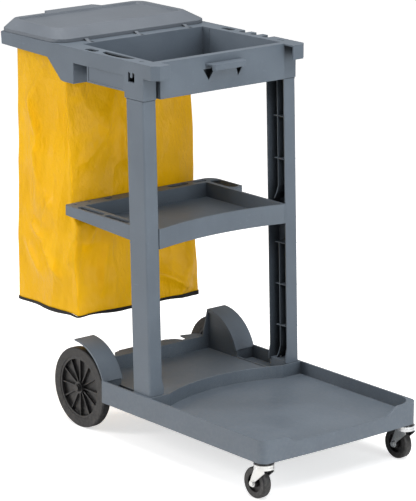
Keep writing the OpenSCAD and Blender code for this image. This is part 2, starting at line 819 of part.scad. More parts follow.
// Opening in the front panel behind the grip
module grip_opening() {
    w0 = grip_half + 10;
    w1 = grip_half - 6;
    slab_x(panel_x - 30, panel_x + 1) polygon([[-w0, tray_rim_z - 32], [w0, tray_rim_z - 32],
        [w1, tray_rim_z - 58], [-w1, tray_rim_z - 58]]);
}

// Grip that stands out from the front panel, over a web that slopes out of the opening
module grip() {
    out = panel_x + 28;
    top = tray_rim_z - 19;
    w = grip_half;
    slab_z(top - 4, top) polygon([[panel_x - 1, -w - 4], [out - 7, -w], [out, 6 - w],
        [out, w - 6], [out - 7, w], [panel_x - 1, w + 4]]);
    slab_z(top - 14, top) polygon([[out - 11, 4 - w], [out - 7, -w], [out, 6 - w], [out, w - 6],
        [out - 7, w], [out - 11, w - 4], [out - 8, w - 5], [out - 4, w - 8], [out - 4, 8 - w],
        [out - 8, 5 - w]]);
    hull() {
        block([panel_x + 3, 18 - w, tray_rim_z - 35], [panel_x + 6, w - 18, tray_rim_z - 33]);
        block([panel_x - 2, 6 - w, tray_rim_z - 65], [panel_x - 0.5, w - 6, tray_rim_z - 61]);
    }
}

// Lugs under the rim that hold the lid's hinge pins
module hinge_lugs() {
    reach = arm_w / 2 + slide_gap;
    for (h = hinge_ys, s = [-1, 1]) translate([0, h + s * (reach + lug_t / 2), 0])
        difference() {
            slab_y(-lug_t / 2, lug_t / 2) {
                translate([-hinge_back, hinge_z]) circle(r = 7);
                translate([-hinge_back - 7, hinge_z]) square([14, 8 - rim_t + 1]);
            }
            rod_y(-hinge_back, hinge_z, hinge_pin_d / 2 + shaft_gap, -half_w, half_w);
        }
}

// Lip round the bag's mouth with the pegs that the bag hangs on
module bag_frame() {
    t = tray_wall;
    difference() {
        block([-frame_lip_rear, -frame_lip_y, lip_z],
            [-frame_lip_front, frame_lip_y, tray_rim_z - 1]);
        block([t - frame_lip_rear, t - frame_lip_y, 0],
            [-frame_lip_front - t, frame_lip_y - t, tray_rim_z + 1]);
    }
    for (x = peg_xs) both() rod_y(x, peg_z, peg_r, -frame_lip_y - 9, -frame_lip_y + 1);
}

// Top tray: rim, well, bag frame, sleeves, front panel, grip and hooks in one moulding
module top_tray() {
    t = tray_wall;
    color(grey) at_origin() difference() {
        union() {
            slab_z(tray_rim_z - rim_t, tray_rim_z) difference() {
                rim_plan();
                well_plan(0);
                translate([t - frame_lip_rear, t - frame_lip_y])
                    square([frame_lip_rear - frame_lip_front - 2 * t, 2 * (frame_lip_y - t)]);
                rim_holes_plan();
            }
            both() slab_y(-post_y, -post_y + t) tray_side_outline();
            block([-tray_rear, 4 - post_y, tray_rim_z - tray_skirt_h],
                [t - tray_rear, post_y - 4, tray_rim_z - 1]);
            slab_z(well_floor_z - t, tray_rim_z - 1) difference() {
                well_plan(-t);
                well_plan(0);
            }
            slab_z(well_floor_z - t, well_floor_z) well_plan(-1);
            difference() {
                block([panel_x - t, -panel_y, tray_rim_z - panel_h],
                    [panel_x, panel_y, tray_rim_z - 1]);
                grip_opening();
            }
            both() {
                block([well_front, -panel_y, tray_rim_z - panel_h],
                    [panel_x, t - panel_y, tray_rim_z - 1]);
                block([-window_rear - t, 1 - post_y, tray_rim_z - panel_h - 1],
                    [-window_rear, -well_rear_y, tray_rim_z - 1]);
                sleeve();
                corner_hook();
            }
            grip();
            hinge_lugs();
            bag_frame();
        }
        slab_z(tray_rim_z - 26, tray_rim_z + 1) finger_notches();
        both() block([5 - window_front, -post_y - 1, tray_rim_z - 71],
            [sleeve_rear - 5, -post_y + tray_wall / 2, tray_rim_z - 37]);
    }
}

// A thin rounded plate used as one level of the lid's form
module lid_level(x0, x1, y, r0, r1, z) {
    translate([0, 0, z]) linear_extrude(0.01) polygon(both_sides(concat(
        [[x0, 0]], arc(x0 + r0, r0 - y, r0, 180, 270, 5), arc(x1 - r1, r1 - y, r1, 270, 360, 7),
        [[x1, 0]])));
}

// Outer form of the lid, moved in by d
module lid_form(d) {
    z0 = tray_rim_z + lid_gap;
    hull() {
        lid_level(d - lid_rear, -lid_front - d, lid_y - d, 26, 40, z0 - (d > 0 ? 1 : 0));
        lid_level(d - lid_rear, -lid_front - d, lid_y - d, 26, 40, z0 + 8.5 - d * 0.8);
        lid_level(d - lid_rear, -lid_front - 47 - d, lid_y - 29 - d, 30, 24,
            tray_rim_z + lid_h - d);
    }
}

// Lid: a shallow dished shell with a finger tab and three hinge arms
module lid() {
    top = tray_rim_z + lid_h;
    color(grey) at_origin() translate([-hinge_back, 0, hinge_z]) rotate([0, lid_open, 0])
        translate([hinge_back, 0, -hinge_z]) {
            difference() {
                union() {
                    difference() {
                        lid_form(0);
                        lid_form(lid_wall);
                    }
                    hull() {
                        lid_level(9 - lid_rear, -lid_front - 52, lid_y - 36, 22, 26, top - 8.5);
                        lid_level(9 - lid_rear, -lid_front - 52, lid_y - 36, 22, 26, top - 2);
                    }
                }
                hull() {
                    lid_level(16 - lid_rear, -lid_front - 59, lid_y - 43, 16, 20, top - 5.5);
                    lid_level(13 - lid_rear, -lid_front - 56, lid_y - 40, 18, 22, top + 1);
                }
            }
            slab_z(top - 5, top - 1) polygon([[2 - lid_rear, -88], [2 - lid_rear, 88],
                [9 - lid_rear - lid_tab, 80], [-lid_rear - lid_tab, 74],
                [-lid_rear - lid_tab, -74], [9 - lid_rear - lid_tab, -80]]);
            for (h = hinge_ys) translate([0, h, 0]) lid_arm();
        }
}

// Arm that drops from the lid's front edge to its hinge pin
module lid_arm() {
    difference() {
        slab_y(-arm_w / 2, arm_w / 2) {
            translate([-hinge_back, hinge_z]) circle(r = 5.5);
            polygon([[-hinge_back + 2, hinge_z + 4.9], [-hinge_back - 14, tray_rim_z + 5],
                [-lid_front - 3, tray_rim_z + 5], [-lid_front - 3, tray_rim_z + 1.2],
                [-hinge_back - 12, tray_rim_z + 0.6], [-hinge_back - 4, hinge_z - 3.5]]);
        }
        rod_y(-hinge_back, hinge_z, hinge_pin_d / 2 + shaft_gap, -half_w, half_w);
    }
}

module lid_hinge_pins() {
    reach = arm_w / 2 + slide_gap + lug_t + 1;
    color(steel) at_origin() for (h = hinge_ys)
        rod_y(-hinge_back, hinge_z, hinge_pin_d / 2, h - reach, h + reach);
}

// Side view of the hanging bag, moved in by d, from its base to height top
module bag_side(d, base, top) {
    rear = bag_wall + slide_gap + frame_lip_rear - d;
    mouth = frame_lip_front - bag_wall - slide_gap + d;
    shelf = shelf_rear + 1 + d;
    belly = shelf_rear - 24 + d;
    low = bag_bottom_z + base;
    under = shelf_floor_z - shelf_t - 8;
    polygon([[-rear, low], [-belly, low], [-belly, under], [-shelf, under + 18],
        [-shelf, shelf_rim_z + 14], [-mouth, shelf_rim_z + 260], [-mouth, top], [-rear, top]]);
}

// Hanging bag, open at the top, with a hole for each peg's grommet
module bag() {
    floor_z = bag_base_t + slide_gap;
    color(yellow) at_origin() difference() {
        slab_y(-bag_y, bag_y) bag_side(0, floor_z, bag_top_z);
        slab_y(bag_wall - bag_y, bag_y - bag_wall) bag_side(bag_wall, floor_z + bag_wall, bag_top_z + 2);
        for (x = peg_xs) rod_y(x, peg_z, 6.3, -half_w, half_w);
    }
}

// Stiff base of the bag with its bound edge
module bag_base() {
    rear = bag_wall + slide_gap + frame_lip_rear;
    belly = shelf_rear - 24;
    color(black) at_origin() block([-rear - 1, -bag_y - 1, bag_bottom_z],
        [1 - belly, bag_y + 1, bag_bottom_z + bag_base_t]);
}

// Eyelets in the bag's wall that hang on the pegs
module bag_grommets() {
    color(steel) at_origin() both() for (x = peg_xs) difference() {
        rod_y(x, peg_z, 6, -bag_y - 0.8, -frame_lip_y - slide_gap);
        rod_y(x, peg_z, peg_r + slide_gap, -half_w, 0);
    }
}

module rear_axle() {
    color(steel) at_origin() rod_y(-axle_back, wheel_r, axle_d / 2, -wheel_out_y - 6, wheel_out_y + 6);
}

// Spacers on the axle between the arches and the wheels
module axle_spacers() {
    color(steel) at_origin() both() difference() {
        rod_y(-axle_back, wheel_r, axle_d / 2 + 5, -arch_in_y - slide_gap - spacer_len,
            -arch_in_y - slide_gap);
        rod_y(-axle_back, wheel_r, axle_d / 2 + shaft_gap, -half_w, 0);
    }
}

// Push-on caps that keep the wheels on the axle
module axle_caps() {
    y = wheel_out_y + slide_gap;
    color(black) at_origin() both() difference() {
        union() {
            rod_y(-axle_back, wheel_r, axle_d / 2 + 4, -y - 4, -y);
            rod_y(-axle_back, wheel_r, axle_d / 2 + 2.5, -y - 8, -y - 4);
        }
        rod_y(-axle_back, wheel_r, axle_d / 2 + shaft_gap, -y - 6, 0);
    }
}

// Section of a rear tyre, radius along X and width along Y
module tyre_section(r_in, r_out, w, s) {
    polygon(concat([[r_in, -w / 2 + 2]], arc(r_out - s, s - w / 2, s, -60, 0, 4),
        arc(r_out - s, w / 2 - s, s, 0, 60, 4), [[r_in, w / 2 - 2]]));
}

// Moulded rear wheel: rim, web, spokes and hub, centred on its axle
module moulded_wheel() {
    rim_in = tyre_inner_r - 6;
    hub_r = axle_d / 2 + 9;
    difference() {
        union() {
            rotate([90, 0, 0]) rotate_extrude($fn = 96) {
                translate([rim_in, -wheel_w / 2 + 3]) square([6 - shaft_gap, wheel_w - 6]);
                translate([hub_r - 2, -1.5]) square([rim_in - hub_r + 3, 3]);
                translate([axle_d / 2 + shaft_gap, -wheel_w / 2]) square([9, wheel_w]);
            }
            for (i = [0:spoke_count - 1]) rotate([0, i * 360 / spoke_count, 0])
                slab_y(-wheel_w / 2 + 5, wheel_w / 2 - 5)
                    translate([hub_r - 1, -1.5]) square([rim_in - hub_r + 2, 3]);
        }
        rod_y(0, 0, axle_d / 2 + shaft_gap, -wheel_w, wheel_w);
    }
}

module rubber_tyre() {
    rotate([90, 0, 0]) rotate_extrude($fn = 96)
        tyre_section(tyre_inner_r, wheel_r, wheel_w, tyre_shoulder);
}

// Places a wheel's own centre on the right end of the axle
module on_axle() {
    translate([-axle_back, -wheel_out_y + wheel_w / 2, wheel_r]) children();
}

module right_rear_wheel() {
    color(black) at_origin() on_axle() moulded_wheel();
}

module left_rear_wheel() {
    color(black) at_origin() mirror([0, 1, 0]) on_axle() moulded_wheel();
}

module right_rear_tyre() {
    color(black) at_origin() on_axle() rubber_tyre();
}

module left_rear_tyre() {
    color(black) at_origin() mirror([0, 1, 0]) on_axle() rubber_tyre();
}

// Fixed swivel stem: upper race, stem and the riveted end under the fork
module caster_stem() {
    translate([swivel_x, -swivel_y, 0]) {
        translate([0, 0, upper_race_z]) cylinder(r = race_r, h = race_h);
        translate([0, 0, fork_plate_z - slide_gap])
            cylinder(d = stem_d, h = platform_z - deck_wall - 1 - fork_plate_z);
        translate([0, 0, fork_plate_z - slide_gap - rivet_h]) cylinder(r = stem_d / 2 + 3, h = rivet_h);
    }
}

// Black spacer between the upper race and the deck
module caster_cap() {
    translate([swivel_x, -swivel_y, cap_z]) difference() {
        cylinder(r1 = race_r - 3, r2 = race_r - 5, h = skirt_z - cap_z);
        translate([0, 0, -1]) cylinder(d = stem_d + 2 * shaft_gap, h = skirt_z - cap_z + 2);
    }
}

// Side view of a fork leg, swivel at x = 0
module leg_outline() {
    polygon(concat([[-14, fork_plate_z + 2], [16, fork_plate_z + 2], [19, fork_plate_z - 6]],
        arc(-caster_trail, caster_r, 9, 30, -90, 5), arc(-caster_trail, caster_r, 9, -90, -190, 5)));
}

// Fork: lower race and two legs, turning on the stem
module caster_fork() {
    translate([swivel_x, -swivel_y, 0]) difference() {
        union() {
            translate([0, 0, fork_plate_z]) cylinder(r = race_r, h = race_h);
            for (s = [-1, 1]) translate([0, s * (leg_in + leg_t / 2), 0])
                slab_y(-leg_t / 2, leg_t / 2) leg_outline();
        }
        translate([0, 0, fork_plate_z - 1]) cylinder(d = stem_d + 2 * shaft_gap, h = race_h + 2);
        rod_y(-caster_trail, caster_r, caster_bolt_d / 2 + shaft_gap, -half_w, half_w);
    }
}

// Axle bolt with its head on the outside
module caster_bolt() {
    y = leg_in + leg_t;
    translate([wheel_x, -swivel_y, 0]) {
        rod_y(0, caster_r, caster_bolt_d / 2, -y - 1, y + 5);
        rod_y(0, caster_r, caster_bolt_d / 2 + 2.4, -y - 4, -y);
    }
}

module caster_nut() {
    y = leg_in + leg_t;
    translate([wheel_x, -swivel_y, 0]) difference() {
        translate([0, y + 4.2, caster_r]) rotate([90, 0, 0])
            cylinder(d = caster_bolt_d * 1.75, h = 4.2, $fn = 6);
        rod_y(0, caster_r, caster_bolt_d / 2 + shaft_gap, -half_w, half_w);
    }
}

// Tube round the axle bolt on which the wheel turns
module caster_sleeve() {
    translate([wheel_x, -swivel_y, 0]) difference() {
        rod_y(0, caster_r, caster_bolt_d / 2 + 2, -leg_in, leg_in);
        rod_y(0, caster_r, caster_bolt_d / 2 + shaft_gap, -half_w, half_w);
    }
}

module caster_hub() {
    bore = caster_bolt_d / 2 + 2 + shaft_gap;
    translate([wheel_x, -swivel_y, caster_r]) rotate([90, 0, 0]) rotate_extrude() {
        translate([bore, 1 - leg_in]) square([5, 2 * leg_in - 2]);
        translate([bore + 4, -3]) square([caster_core_r - bore - 5, 6]);
        translate([caster_core_r - 3, -caster_w / 2 + 2]) square([3, caster_w - 4]);
    }
}

module caster_tyre() {
    translate([wheel_x, -swivel_y, caster_r]) rotate([90, 0, 0]) rotate_extrude()
        tyre_section(caster_core_r + shaft_gap, caster_r, caster_w, 7);
}

module right_caster_stem() { color(steel) at_origin() caster_stem(); }
module left_caster_stem() { color(steel) at_origin() mirror([0, 1, 0]) caster_stem(); }
module right_caster_cap() { color(black) at_origin() caster_cap(); }
module left_caster_cap() { color(black) at_origin() mirror([0, 1, 0]) caster_cap(); }
module right_caster_fork() { color(steel) at_origin() caster_fork(); }
module left_caster_fork() { color(steel) at_origin() mirror([0, 1, 0]) caster_fork(); }
module right_caster_bolt() { color(steel) at_origin() caster_bolt(); }
module left_caster_bolt() { color(steel) at_origin() mirror([0, 1, 0]) caster_bolt(); }
module right_caster_nut() { color(steel) at_origin() caster_nut(); }
module left_caster_nut() { color(steel) at_origin() mirror([0, 1, 0]) caster_nut(); }
module right_caster_sleeve() { color(steel) at_origin() caster_sleeve(); }
module left_caster_sleeve() { color(steel) at_origin() mirror([0, 1, 0]) caster_sleeve(); }
module right_caster_hub() { color(black) at_origin() caster_hub(); }
module left_caster_hub() { color(black) at_origin() mirror([0, 1, 0]) caster_hub(); }
module right_caster_tyre() { color(black) at_origin() caster_tyre(); }
module left_caster_tyre() { color(black) at_origin() mirror([0, 1, 0]) caster_tyre(); }

base_deck();
right_post();
left_post();
middle_shelf();
top_tray();
post_screws();
shelf_screws();
lid();
lid_hinge_pins();
bag();
bag_base();
bag_grommets();
rear_axle();
axle_spacers();
axle_caps();
right_rear_wheel();
left_rear_wheel();
right_rear_tyre();
left_rear_tyre();
right_caster_stem();
left_caster_stem();
right_caster_cap();
left_caster_cap();
right_caster_fork();
left_caster_fork();
right_caster_bolt();
left_caster_bolt();
right_caster_nut();
left_caster_nut();
right_caster_sleeve();
left_caster_sleeve();
right_caster_hub();
left_caster_hub();
right_caster_tyre();
left_caster_tyre();
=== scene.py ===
# %% [markdown]
# A housekeeping cart: moulded blue-grey frame, spoked rear wheels, swivel casters and a yellow bag.
# The hard pieces come ready-made with the frame, in metres and already in place. This lesson gives
# them their finishes, makes the soft bag, and sets up the floor, the lights and the camera.

# %% Load the frame
import math

import bmesh
import bpy
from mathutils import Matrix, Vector, noise


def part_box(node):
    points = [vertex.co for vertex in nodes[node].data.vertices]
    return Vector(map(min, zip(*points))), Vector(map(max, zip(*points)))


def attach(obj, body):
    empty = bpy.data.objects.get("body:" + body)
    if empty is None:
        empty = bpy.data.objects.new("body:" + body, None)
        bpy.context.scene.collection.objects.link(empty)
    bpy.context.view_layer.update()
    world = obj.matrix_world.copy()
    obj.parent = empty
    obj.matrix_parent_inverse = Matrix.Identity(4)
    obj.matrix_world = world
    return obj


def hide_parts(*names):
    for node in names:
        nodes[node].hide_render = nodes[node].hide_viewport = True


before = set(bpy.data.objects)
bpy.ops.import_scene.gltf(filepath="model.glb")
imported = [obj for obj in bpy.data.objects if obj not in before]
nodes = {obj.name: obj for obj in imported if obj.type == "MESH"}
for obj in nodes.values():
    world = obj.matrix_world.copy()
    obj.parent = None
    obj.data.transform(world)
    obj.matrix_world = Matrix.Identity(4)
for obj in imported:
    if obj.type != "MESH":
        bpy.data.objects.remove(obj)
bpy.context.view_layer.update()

# %% [markdown]
# The camera stands off the cart's right front corner, a little above it. A long lens from nearly
# seven metres keeps the uprights almost parallel, as in a catalogue picture.

# %% Camera
AZIMUTH, ELEVATION = 50.508, 14.826
DISTANCE = 6.816
AIM = Vector((0.0299, 0.0002, 0.4596))
LENS = 201.3
SENSOR = 36


def from_angles(azimuth, elevation):
    """The direction from the cart to a viewer. Azimuth 0 stands on -Y and 90 on +X."""
    a, e = math.radians(azimuth), math.radians(elevation)
    return Vector((math.sin(a) * math.cos(e), -math.cos(a) * math.cos(e), math.sin(e)))


camera = bpy.data.objects.new("Camera", bpy.data.cameras.new("Camera"))
bpy.context.scene.collection.objects.link(camera)
camera.data.sensor_width = SENSOR
camera.data.lens = LENS
camera.location = AIM + from_angles(AZIMUTH, ELEVATION) * DISTANCE
camera.rotation_mode = "QUATERNION"
camera.rotation_quaternion = (-from_angles(AZIMUTH, ELEVATION)).to_track_quat("-Z", "Y")
bpy.context.scene.camera = camera
bpy.context.scene.view_settings.view_transform = "Standard"
print("camera at", [round(c, 3) for c in camera.location])

# %% [markdown]
# Objects and shader nodes are made many times below. A bmesh ends as an object at the origin, with
# its place in its mesh, and a small class keeps the lines that build a node tree short.

# %% Small helpers for objects and shader nodes
def add_object(name, mesh):
    made = bpy.data.objects.new(name, mesh)
    bpy.context.scene.collection.objects.link(made)
    return made


def finish_mesh(bm, name, smooth=True):
    """Turns a bmesh into an object at the origin."""
    mesh = bpy.data.meshes.new(name)
    bm.to_mesh(mesh)
    bm.free()
    for face in mesh.polygons:
        face.use_smooth = smooth
    return add_object(name, mesh)


class Shader:
    """A material or a group under construction, with short ways to add and join nodes."""

    def __init__(self, tree):
        self.tree = tree

    def add(self, kind, **settings):
        node = self.tree.nodes.new("ShaderNode" + kind)
        for key, value in settings.items():
            if key in node.inputs:
                node.inputs[key].default_value = value
            else:
                setattr(node, key, value)
        return node

    def join(self, source, target):
        self.tree.links.new(source, target)


def new_material(name):
    material = bpy.data.materials.new(name)
    material.use_nodes = True
    shader = Shader(material.node_tree)
    principled = material.node_tree.nodes["Principled BSDF"]
    return material, shader, principled


# %% [markdown]
# The floor is one very wide pale sheet, so that its far edge is never seen and the background stays
# even. It glows a little for the camera only, as paper does when the lights behind are bright.

# %% Floor
FLOOR_HALF = 30
PAPER_GLOW = 0.60

paper, paper_shader, paper_surface = new_material("studio paper")
paper_surface.inputs["Base Color"].default_value = (0.92, 0.92, 0.92, 1)
paper_surface.inputs["Roughness"].default_value = 0.8
paper_surface.inputs["Emission Color"].default_value = (1, 1, 1, 1)
seen = paper_shader.add("LightPath")
glow = paper_shader.add("Math", operation="MULTIPLY")
paper_shader.join(seen.outputs["Is Camera Ray"], glow.inputs[0])
glow.inputs[1].default_value = PAPER_GLOW
paper_shader.join(glow.outputs[0], paper_surface.inputs["Emission Strength"])
bm = bmesh.new()
bmesh.ops.create_grid(bm, x_segments=1, y_segments=1, size=FLOOR_HALF)
floor = finish_mesh(bm, "studio_floor", smooth=False)
floor.data.materials.append(paper)
print("floor", floor.name)

# %% [markdown]
# Soft boxes left and right light the two visible sides of the cart, a third fills in from the
# front and above, and a large one overhead lights the floors of the tray, shelf and platform.

# %% Lights
ROOM_LIGHT = 0.40


def soft_box(name, azimuth, elevation, distance, width, height, watts, colour):
    """An area light that faces the cart, its angles as the camera's, its sizes in metres."""
    lamp = bpy.data.lights.new(name, "AREA")
    lamp.shape = "RECTANGLE"
    lamp.size, lamp.size_y = width, height
    lamp.energy = watts
    lamp.color = colour
    box = bpy.data.objects.new(name, lamp)
    bpy.context.scene.collection.objects.link(box)
    box.location = AIM + from_angles(azimuth, elevation) * distance
    box.rotation_mode = "QUATERNION"
    box.rotation_quaternion = (-from_angles(azimuth, elevation)).to_track_quat("-Z", "Y")


soft_box("right soft box", 100, 9, 3.6, 1.0, 1.6, 38, (0.92, 0.98, 1))
soft_box("left soft box", -32, 24, 3.6, 1.0, 1.8, 52, (1, 0.98, 0.96))
soft_box("key soft box", 72, 50, 3.4, 1.4, 1.4, 40, (0.98, 0.98, 1))
soft_box("top soft box", 30, 84, 3.2, 2.0, 2.0, 84, (1, 0.965, 0.93))
world = bpy.data.worlds.new("studio")
world.use_nodes = True
world.node_tree.nodes["Background"].inputs["Color"].default_value = (1, 1, 1, 1)
world.node_tree.nodes["Background"].inputs["Strength"].default_value = ROOM_LIGHT
bpy.context.scene.world = world

# %% [markdown]
# Several finishes share the same small effects, so each effect is a node group with named inputs.
# "Moulded grain" is the fine orange-peel of a plastic moulding, read from Object coordinates so
# that it keeps its real size on every piece. "Handling marks" gives soft cloudy dirt and thin
# scuffs. "Floor dust" grows stronger towards the ground, where dust settles. "Woven backing" is the
# fine over and under of threads, for the bag's cloth and its tape.

# %% Shared effects
def new_group(name, inputs, outputs):
    """A node group with float or colour sockets: {name: default}."""
    group = bpy.data.node_groups.new(name, "ShaderNodeTree")
    for socket, value in inputs.items():
        kind = "NodeSocketColor" if isinstance(value, tuple) else "NodeSocketFloat"
        made = group.interface.new_socket(socket, in_out="INPUT", socket_type=kind)
        made.default_value = value
    for socket, kind in outputs.items():
        group.interface.new_socket(socket, in_out="OUTPUT", socket_type=kind)
    shader = Shader(group)
    ends = (group.nodes.new("NodeGroupInput"), group.nodes.new("NodeGroupOutput"))
    return group, shader, *ends


def object_noise(shader, scale, detail=3.0, stretch=(1, 1, 1), rough=0.55):
    """Noise on Object coordinates, scale in patterns per metre, stretched along an axis."""
    coords = shader.add("TexCoord")
    mapping = shader.add("Mapping")
    mapping.inputs["Scale"].default_value = stretch
    shader.join(coords.outputs["Object"], mapping.inputs["Vector"])
    pattern = shader.add("TexNoise", Scale=scale, Detail=detail, Roughness=rough)
    shader.join(mapping.outputs["Vector"], pattern.inputs["Vector"])
    return pattern


def ramp(shader, source, low, high):
    """A smooth step of source from 0 at low to 1 at high."""
    node = shader.add("MapRange", interpolation_type="SMOOTHSTEP")
    node.inputs["From Min"].default_value = low
    node.inputs["From Max"].default_value = high
    shader.join(source, node.inputs["Value"])
    return node.outputs["Result"]


def maths(shader, operation, a, b):
    """A Math node. Each of a and b is a number or another node's output."""
    node = shader.add("Math", operation=operation)
    for socket, value in zip(node.inputs, (a, b)):
        if isinstance(value, (int, float)):
            socket.default_value = value
        else:
            shader.join(value, socket)
    return node.outputs[0]


def tint(shader, mask, a, b):
    """Colour a where mask is 0 and b where it is 1."""
    node = shader.add("Mix", data_type="RGBA")
    for socket, value in zip((node.inputs[0], node.inputs[6], node.inputs[7]), (mask, a, b)):
        if isinstance(value, (int, float, tuple)):
            socket.default_value = value
        else:
            shader.join(value, socket)
    return node.outputs[2]


grain_group, g, g_in, g_out = new_group("Moulded grain", {"Grain Scale": 700.0, "Wave": 0.5},
    {"Height": "NodeSocketFloat"})
fine = object_noise(g, 700, 2)
g.join(g_in.outputs["Grain Scale"], fine.inputs["Scale"])
broad = object_noise(g, 9, 2)
g.join(maths(g, "ADD", fine.outputs["Fac"], maths(g, "MULTIPLY", broad.outputs["Fac"],
    g_in.outputs["Wave"])), g_out.inputs["Height"])

marks_group, g, g_in, g_out = new_group("Handling marks", {"Amount": 0.5},
    {"Cloud": "NodeSocketFloat", "Scuff": "NodeSocketFloat"})
cloud = object_noise(g, 11, 5)
g.join(ramp(g, cloud.outputs["Fac"], 0.35, 0.7), g_out.inputs["Cloud"])
long_x = object_noise(g, 60, 4, (0.15, 1, 3))
long_z = object_noise(g, 45, 4, (2, 2, 0.2))
scratch = maths(g, "MULTIPLY", ramp(g, long_x.outputs["Fac"], 0.60, 0.72),
    ramp(g, long_z.outputs["Fac"], 0.48, 0.66))
g.join(maths(g, "MULTIPLY", scratch, g_in.outputs["Amount"]), g_out.inputs["Scuff"])

dust_group, g, g_in, g_out = new_group("Floor dust", {"Top": 0.2}, {"Mask": "NodeSocketFloat"})
coords = g.add("TexCoord")
split = g.add("SeparateXYZ")
g.join(coords.outputs["Object"], split.inputs[0])
fall = g.add("MapRange")
g.join(split.outputs["Z"], fall.inputs["Value"])
fall.inputs["From Min"].default_value = 0
g.join(g_in.outputs["Top"], fall.inputs["From Max"])
fall.inputs["To Min"].default_value = 1
fall.inputs["To Max"].default_value = 0
speck = object_noise(g, 130, 6)
g.join(maths(g, "MULTIPLY", fall.outputs[0], ramp(g, speck.outputs["Fac"], 0.35, 0.75)),
    g_out.inputs["Mask"])

weave_group, g, g_in, g_out = new_group("Woven backing", {"Threads": 900.0},
    {"Height": "NodeSocketFloat"})
coords = g.add("TexCoord")
split = g.add("SeparateXYZ")
g.join(coords.outputs["Object"], split.inputs[0])
across = maths(g, "ADD", split.outputs["X"], split.outputs["Y"])
warp = maths(g, "SINE", maths(g, "MULTIPLY", across, g_in.outputs["Threads"]), 0)
weft = maths(g, "SINE", maths(g, "MULTIPLY", split.outputs["Z"], g_in.outputs["Threads"]), 0)
g.join(maths(g, "MULTIPLY", warp, weft), g_out.inputs["Height"])
print("groups", [n.name for n in bpy.data.node_groups])


def use_group(shader, group, **values):
    """Places an effect in a material. An underscore in a value's name stands for a space."""
    node = shader.add("Group")
    node.node_tree = group
    for key, value in values.items():
        node.inputs[key.replace("_", " ")].default_value = value
    return node


def bump(shader, height, distance, strength, normal=None):
    """A bump of the given depth in metres, on top of another normal if there is one."""
    node = shader.add("Bump", Strength=strength, Distance=distance)
    shader.join(height, node.inputs["Height"])
    if normal is not None:
        shader.join(normal, node.inputs["Normal"])
    return node.outputs["Normal"]


def facing(shader, axis):
    """How far a surface faces up (Z) or forward (X), from -1 to 1."""
    split = shader.add("SeparateXYZ")
    shader.join(shader.add("TexCoord").outputs["Normal"], split.inputs[0])
    return split.outputs[axis]


def soft_edges(shader, radius):
    """Rounds the sharp corners of a moulding in the shading."""
    return shader.add("Bevel", samples=4, Radius=radius).outputs["Normal"]


# %% [markdown]
# The frame is structural foam plastic: blue-grey, satin, with a fine grain and faint cloudy flow
# marks. Its corners are never razor sharp, so the shading rounds them by a millimetre or two and
# they catch a thin line of light. The posts are channels with ribs inside, which look nearly black
# because little light gets in, so the Ambient Occlusion node paints shade into the colour of deep
# hollows. Floors that face up are left out of that painted shade.

# %% Blue-grey moulded plastic
HOLLOW_REACH = 0.12
HOLLOW_SHADE = 0.16
DUST = (0.40, 0.38, 0.35, 1)


def scaled(colour, factor):
    """The colour made lighter or darker, with its alpha left at 1."""
    return tuple(factor * c for c in colour[:3]) + (1,)


def moulded_plastic(name, base, light, rough, edge):
    material, s, surface = new_material(name)
    marks = use_group(s, marks_group, Amount=0.35)
    dust = use_group(s, dust_group, Top=0.22)
    body = tint(s, marks.outputs["Cloud"], base, light)
    scuffed = tint(s, marks.outputs["Scuff"], body, scaled(light, 1.5))
    dusty = tint(s, maths(s, "MULTIPLY", dust.outputs["Mask"], 0.12), scuffed, DUST)
    # Painted shade: hollows found by Ambient Occlusion get a much darker colour, except faces that
    # point up.
    cavity = s.add("AmbientOcclusion", samples=6, Distance=HOLLOW_REACH)
    open_side = maths(s, "MAXIMUM", ramp(s, cavity.outputs["AO"], 0.12, 0.62),
        ramp(s, facing(s, "Z"), 0.5, 0.9))
    s.join(tint(s, open_side, scaled(base, HOLLOW_SHADE), dusty), surface.inputs["Base Color"])
    s.join(maths(s, "ADD", rough, maths(s, "MULTIPLY", marks.outputs["Cloud"], 0.10)),
        surface.inputs["Roughness"])
    grain = use_group(s, grain_group, Grain_Scale=850.0, Wave=1.4)
    s.join(bump(s, grain.outputs["Height"], 0.00012, 0.5, soft_edges(s, edge)),
        surface.inputs["Normal"])
    return material


frame_plastic = moulded_plastic("blue-grey frame plastic", (0.096, 0.120, 0.149, 1),
    (0.108, 0.134, 0.165, 1), 0.44, 0.0018)
lid_plastic = moulded_plastic("blue-grey lid plastic", (0.104, 0.121, 0.144, 1),
    (0.116, 0.134, 0.158, 1), 0.48, 0.0016)
print("plastics", frame_plastic.name, lid_plastic.name)

# %% [markdown]
# Wheels, caster hubs and caps are black nylon with light scuffs. The tyres are duller rubber that
# holds some dust, and the forks, screws, pins and axle are bright zinc plate, which is metal and
# so takes its look from what it reflects.

# %% Black nylon, rubber and zinc
def nylon(name, colour, rough):
    material, s, surface = new_material(name)
    marks = use_group(s, marks_group, Amount=0.6)
    dust = use_group(s, dust_group, Top=0.26)
    body = tint(s, marks.outputs["Scuff"], colour, (0.10, 0.10, 0.10, 1))
    s.join(tint(s, maths(s, "MULTIPLY", dust.outputs["Mask"], 0.06), body, (0.30, 0.28, 0.25, 1)),
        surface.inputs["Base Color"])
    s.join(maths(s, "ADD", rough, maths(s, "MULTIPLY", marks.outputs["Cloud"], 0.15)),
        surface.inputs["Roughness"])
    grain = use_group(s, grain_group, Grain_Scale=1200.0, Wave=0.4)
    s.join(bump(s, grain.outputs["Height"], 0.0001, 0.5, soft_edges(s, 0.0008)),
        surface.inputs["Normal"])
    return material


black_nylon = nylon("black nylon", (0.007, 0.007, 0.008, 1), 0.30)


